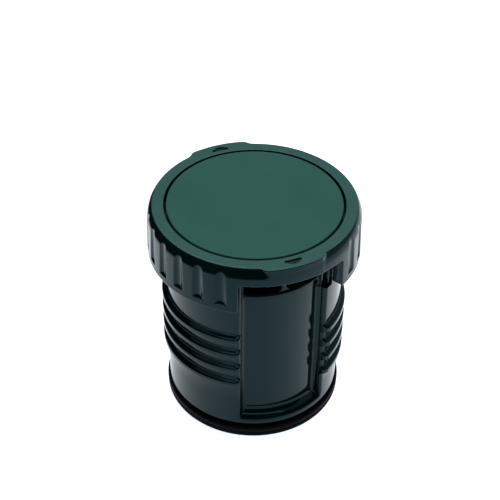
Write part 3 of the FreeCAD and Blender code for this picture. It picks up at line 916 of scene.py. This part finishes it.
# ------------------------------------------------------------------ core cup
def build_core():
    cr = 21.95
    web_h, web_w, web_r, web_flare_z = 0.65, 1.90, 21.40, 53.0
    rim = 51.40
    neck = 18.50
    side = [0.0, 0.25, 0.5, 0.72, 0.86, 0.95, 1.0]

    lower = [(0, CORE_LOW), (cr - 2.0, CORE_LOW), (cr - 0.4, CORE_LOW)]
    lower += arc(cr - 0.4, CORE_LOW + 0.4, 0.4, -90, 0, 4)[1:]
    lower += [(cr, z) for z in (7.6, 8.6, 14, 22, 30, 38, 46, 49.6)]
    lower += arc(cr - 0.62, rim - 0.62, 0.62, 0, 90, 7)
    neck_rows = [(0.0, rim), (0.10, rim + 0.03), (0.22, rim + 0.12), (0.32, rim + 0.26),
                 (0.37, rim + 0.45)]
    tall = [rim + 0.8, rim + 1.2, rim + 1.7, rim + 2.4, 55.0, 58.0, CORE_TOP - 0.15]
    after = [(16.9, CORE_TOP), (16.9, 49.80), (20.35, 49.80), (20.35, 8.6), (19.95, 8.20), (0, 8.20)]

    # columns: the web's half is 12 columns, the rest is even
    nweb = 15
    rest = list(np.linspace(0, 1, 74))
    verts, faces, rings = [], [], []

    def web_half(z):
        if z >= web_flare_z:
            return web_h
        t = (web_flare_z - z) / (web_flare_z - rim)
        return web_h + (web_w - web_h) * t ** 2.2

    def quarter(z, on_neck, r_base):
        """(r, s angle) of the columns from the web's middle to 90 degrees."""
        pts = []
        if on_neck:
            h = web_half(z)
            tip, rnd = web_r, 0.28
            for k in range(4):
                pts.append((tip, math.degrees((h - rnd) / tip) * k / 3))
            for k in range(1, 4):
                a = math.radians(30 * k)
                r = tip - rnd * (1 - math.cos(a))
                pts.append((r, math.degrees((h - rnd + rnd * math.sin(a)) / tip)))
            for k in range(1, 4):
                r = tip - rnd - (tip - rnd - r_base - 0.35) * k / 3
                pts.append((r, math.degrees(h / r)))
            for k in range(1, 6):
                a = math.radians(18 * k)
                r = r_base + 0.35 * (1 - math.sin(a))
                pts.append((r, math.degrees((h + 0.35 * (1 - math.cos(a))) / r)))
        else:
            end = math.degrees(2.3 / neck)
            for k in range(nweb):
                pts.append((r_base, end * k / (nweb - 1)))
        last = pts[-1][1]
        for f in rest[1:]:
            pts.append((r_base, last + (90 - last) * f))
        return pts

    def ring(z, on_neck, r_base):
        q = quarter(z, on_neck, r_base)
        full = []
        for base, seq, sign in ((0, q, 1), (180, q[::-1][1:], -1), (180, q[1:], 1),
                                (360, q[::-1][1:-1], -1)):
            for r, t in seq:
                full.append((r, base + sign * t))
        ids = []
        for r, t in full:
            verts.append(place(r, t, z))
            ids.append(len(verts) - 1)
        return ids

    def pole(z, n):
        verts.append((0.0, 0.0, z * MM))
        return [len(verts) - 1] * n

    n = len(ring(10.0, False, 1.0))
    verts.clear()
    rings.append(pole(CORE_LOW, n))
    for r, z in lower[1:]:
        rings.append(ring(z, False, r))
    # the shoulder between the rim and the neck, then the neck with its webs
    rings.append(ring(rim, True, neck + 0.45))
    for grow, z in neck_rows[1:]:
        rings.append(ring(z, True, neck + 0.42 - grow))
    for z in tall:
        rings.append(ring(z, True, neck))
    rings.append(ring(CORE_TOP, True, neck - 0.05))
    for r, z in after[:-1]:
        rings.append(ring(z, False, r))
    rings.append(pole(after[-1][1], n))
    for a, b in zip(rings[:-1], rings[1:]):
        for j in range(n):
            k = (j + 1) % n
            face = []
            for v in (a[j], a[k], b[k], b[j]):
                if v not in face:
                    face.append(v)
            faces.append(face)
    return finish_mesh("core_cup_shell", verts, faces, [GREEN], sharp=36.0)


# ------------------------------------------------------- disc, ring and base
def build_disc():
    low = PAD_TOP
    peg = 3.5
    foot = foot_of("top_disc")
    e = 0.25
    prof = [(0, foot), (peg - 0.2, foot), (peg, foot + 0.2), (peg, low - 0.1),
            (peg + 0.1, low), (12.0, low), (DISC_RAD - 0.4, low), (DISC_RAD, low + 0.4),
            (DISC_RAD, DISC_TOP - e)]
    prof += arc(DISC_RAD - e, DISC_TOP - e, e, 0, 90, 6)[1:]
    prof += [(22.5, DISC_TOP), (18.0, DISC_TOP), (12.0, DISC_TOP), (6.0, DISC_TOP), (0, DISC_TOP)]
    v, f = lathe_data(prof, list(np.arange(0, 360, 1.25)))
    # The disc takes the lighter satin green: painted light from above.
    ob = finish_mesh("top_disc_inlay", v, f, [SATIN_PAINTED_LIGHT], sharp=40.0)
    bm = bmesh.new()
    bm.from_mesh(ob.data)
    for ed in bm.edges:
        fl = [fc.normal.z > 0.9999 for fc in ed.link_faces]
        if len(fl) == 2 and fl[0] != fl[1]:
            ed.smooth = False
    bm.to_mesh(ob.data)
    bm.free()
    return ob


def build_seal():
    b, t = 22.70, SEAL_TOP
    R = SEAL_RAD
    prof = [(b, 0.75), (b + 0.35, 0.30), (b + 0.9, 0.0), (R - 1.5, 0.0), (R - 1.25, 0.0)]
    prof += arc(R - 1.25, 1.2, 1.2, -90, 0, 9)[1:]
    prof += [(R - 0.05, 1.55), (R - 0.07, 1.78), (R - 0.16, 1.96), (R - 0.20, 2.10),
             (R - 0.16, 2.26), (R - 0.06, 2.46), (R, 2.75), (R, 3.05)]
    prof += arc(R - 0.6, 3.3, 0.6, 0, 90, 6)
    prof += [(24.25, 3.9), (24.13, 3.95), (24.1, 4.08), (24.1, t - 0.2), (24.02, t - 0.05),
             (23.85, t), (b + 0.1, t), (b, t - 0.1), (b, 2.4)]
    v, f = lathe_data(prof, list(np.arange(0, 360, 1.5)))
    return finish_mesh("seal_ring_body", v, f, [RUBBER], sharp=40.0)


def build_base():
    lo, hi = BASE_LOW, BASE_TOP
    web = 3.0
    prof = [(0, web), (6.0, web), (6.6, web - 0.12), (7.4, web - 0.12), (8.0, web),
            (15.0, web), (19.0, web)]
    prof += arc(19.0, web - 0.8, 0.8, 90, 0, 6)[1:]
    prof += [(19.8, lo + 0.2)]
    prof += [(19.88, lo + 0.05), (20.05, lo), (22.25, lo)]
    prof += arc(22.25, lo + 0.4, 0.4, -90, 0, 4)[1:]
    prof += [(22.65, SLEEVE_LOW - 0.1), (22.6, SLEEVE_LOW), (19.45, SLEEVE_LOW),
             (19.4, SLEEVE_LOW + 0.05), (19.4, hi - 0.15), (19.25, hi), (0, hi)]
    v, f = lathe_data(prof, list(np.arange(0, 360, 2.0)))
    return finish_mesh("base_plate_body", v, f, [GREEN], sharp=36.0)


cap = build_cap()
sleeve = build_sleeve()
core = build_core()
disc = build_disc()
seal = build_seal()
base = build_base()

for piece, body, node, slot in (
        (cap, "stopper", "grip_cap", "green_gloss"),
        (disc, "stopper", "top_disc", "green_satin"),
        (sleeve, "stopper", "thread_sleeve", "green_gloss"),
        (core, "stopper", "core_cup", "green_gloss"),
        (base, "stopper", "base_plate", "green_gloss"),
        (seal, "seal", "seal_ring", "black_rubber")):
    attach(piece, body)
    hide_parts(node)

for name, mat in (("foam_core", CREAM_FOAM), ("disc_bonding_pad", GREY_FOAM),
                  ("mouth_gasket", RUBBER)):
    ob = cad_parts[name]
    if not ob.material_slots:
        ob.data.materials.append(mat)
    for slot in ob.material_slots:
        slot.material = mat

# --------------------------------------------------------------------- stage
floor_z = cad_low[2]


def build_floor():
    size, n = 2.4, 2
    me = bpy.data.meshes.new("studio_floor")
    v = [(-size, -size, 0), (size, -size, 0), (size, size, 0), (-size, size, 0)]
    me.from_pydata([(x, y, floor_z - 0.00002) for x, y, z in v], [], [(0, 1, 2, 3)])
    mat, nt, bsdf = tree("pale_floor")
    tc = nt.nodes.new("ShaderNodeTexCoord")
    cloud = noise(nt, tc.outputs["Object"], 6.0, 3.0, 0.5)
    nt.links.new(blend(nt, cloud, (0.46, 0.47, 0.48), (0.50, 0.50, 0.50)), bsdf.inputs["Base Color"])
    bsdf.inputs["Roughness"].default_value = 0.9
    bsdf.inputs["Specular IOR Level"].default_value = 0.0
    bsdf.inputs["Emission Color"].default_value = (0.86, 0.93, 1.0, 1.0)
    # The floor glows as a light table. Its glow is painted brighter along (0.929, -0.369), towards the
    # camera's right, and dimmer to the left: painted light that leaves the object's lower left side in
    # shade.
    painted_glow_gradient = nt.nodes.new("ShaderNodeVectorMath")
    painted_glow_gradient.operation = "DOT_PRODUCT"
    painted_glow_gradient.inputs[1].default_value = (0.929, -0.369, 0.0)
    nt.links.new(tc.outputs["Object"], painted_glow_gradient.inputs[0])
    nt.links.new(span(nt, painted_glow_gradient.outputs["Value"], -0.07, 0.07, 0.87, 1.08, True),
                 bsdf.inputs["Emission Strength"])
    me.materials.append(mat)
    ob = bpy.data.objects.new("studio_floor", me)
    bpy.context.scene.collection.objects.link(ob)
    return ob


def flag(name, rad, z0, z1, level, fade, turn0=0.0, turn1=360.0):
    """A dark or lit cloth wall round the table: only reflections see it."""
    me = bpy.data.meshes.new(name)
    n = 96
    v, f = [], []
    for k in range(n + 1):
        a = math.radians(turn0 + (turn1 - turn0) * k / n)
        v.append((rad * math.sin(a), -rad * math.cos(a), floor_z + z0))
        v.append((rad * math.sin(a), -rad * math.cos(a), floor_z + z1))
    for k in range(n):
        f.append((2 * k, 2 * k + 2, 2 * k + 3, 2 * k + 1))
    me.from_pydata(v, [], f)
    mat = bpy.data.materials.new(name)
    mat.use_nodes = True
    nt = mat.node_tree
    nt.nodes.clear()
    out = nt.nodes.new("ShaderNodeOutputMaterial")
    em = nt.nodes.new("ShaderNodeEmission")
    em.inputs["Color"].default_value = (0.80, 0.92, 1.0, 1.0)
    tc = nt.nodes.new("ShaderNodeTexCoord")
    sep = nt.nodes.new("ShaderNodeSeparateXYZ")
    nt.links.new(tc.outputs["Object"], sep.inputs["Vector"])
    foot = span(nt, sep.outputs["Z"], z0, z0 + fade, 0.85, level, True)
    head = span(nt, sep.outputs["Z"], z1 - fade * 1.5, z1, 0.0, 0.55, True)
    nt.links.new(math_node(nt, "ADD", foot, head), em.inputs["Strength"])
    nt.links.new(em.outputs[0], out.inputs["Surface"])
    me.materials.append(mat)
    ob = bpy.data.objects.new(name, me)
    bpy.context.scene.collection.objects.link(ob)
    ob.visible_camera = False
    ob.visible_diffuse = False
    ob.visible_shadow = False
    ob.visible_transmission = False
    return ob


build_floor()
flag("studio_flag", 0.150, 0.001, 0.20, 0.010, 0.012, -172.0, 40.0)
flag("studio_strip", 0.149, 0.205, 0.340, 2.6, 0.010, -75.0, 30.0)


def area(name, at, to, size, power, colour, size_y=None):
    li = bpy.data.lights.new(name, "AREA")
    li.energy = power
    li.color = colour
    li.size = size
    if size_y is not None:
        li.shape = "RECTANGLE"
        li.size_y = size_y
    ob = bpy.data.objects.new(name, li)
    bpy.context.scene.collection.objects.link(ob)
    ob.location = at
    d = Vector(to) - Vector(at)
    ob.rotation_euler = d.to_track_quat("-Z", "Y").to_euler()
    return ob


area("top_softbox", (0.05, 0.16, 0.62), (0.0, 0.0, 0.05), 0.42, 4.2, (1.0, 1.0, 1.0))

world = bpy.data.worlds.new("studio")
world.use_nodes = True
bg = world.node_tree.nodes.get("Background")
bg.inputs["Color"].default_value = (0.90, 0.96, 1.0, 1.0)
bg.inputs["Strength"].default_value = 0.62
bpy.context.scene.world = world
bpy.context.scene.view_settings.view_transform = "Standard"
bpy.context.scene.view_settings.look = "None"

# -------------------------------------------------------------------- camera
cam_data = bpy.data.cameras.new("camera")
cam_data.lens = 89.974
cam_data.sensor_width = 36.0
cam_data.clip_start = 0.01
cam_data.clip_end = 20.0
cam = bpy.data.objects.new("camera", cam_data)
bpy.context.scene.collection.objects.link(cam)
rot = Matrix(((0.92940159, 0.22714107, -0.29089451),
              (-0.3689719, 0.5900132, -0.7181533),
              (0.00850949, 0.77478472, 0.63216788)))
cam.matrix_world = Matrix.Translation((-0.10285181, -0.25077862, 0.27026485)) @ rot.to_4x4()
bpy.context.scene.camera = cam

bpy.context.view_layer.update()
